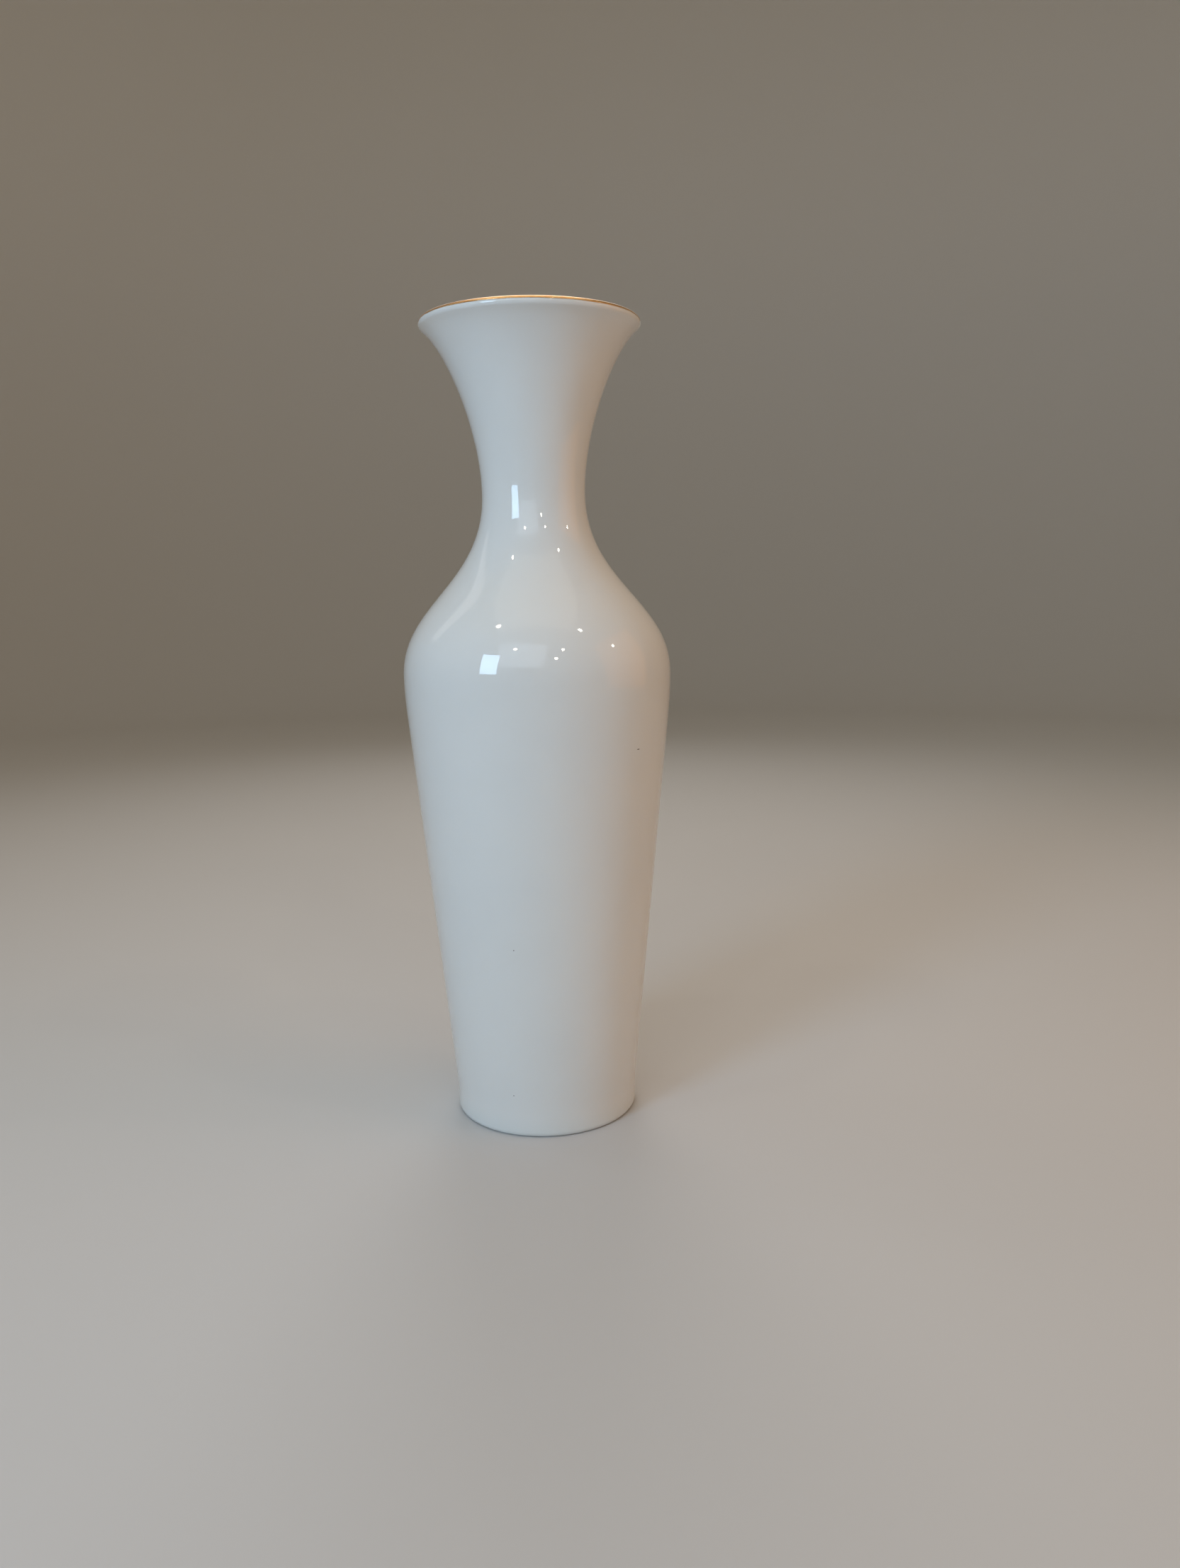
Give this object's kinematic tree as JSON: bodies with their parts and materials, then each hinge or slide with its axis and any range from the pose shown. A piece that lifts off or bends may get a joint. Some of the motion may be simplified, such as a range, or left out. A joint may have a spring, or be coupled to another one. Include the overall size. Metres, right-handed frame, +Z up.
{
  "type": "porcelain vase",
  "caption": "Tall glazed porcelain vase: slim tapering body, high round shoulder, narrow neck, wide flared mouth with a thin gilded rim, and a bare foot ring that it stands on.",
  "frame": {"origin": "centre of the circle that the foot ring stands on", "axes": "+Z up along the vase's axis of turning; +X and +Y are any two directions at right angles across the foot, because the vase is round"},
  "size_m": [0.1012, 0.1012, 0.3],
  "materials": {
    "porcelain_body": "matte",
    "outside_glaze": "gloss",
    "inside_glaze": "gloss",
    "base_glaze": "gloss",
    "rim_gilding": "polished"
  },
  "bodies": {
    "root": {"porcelain_body": "porcelain_body", "outside_glaze": "outside_glaze", "inside_glaze": "inside_glaze", "base_glaze": "base_glaze", "rim_gilding": "rim_gilding"}
  },
  "joints": []
}
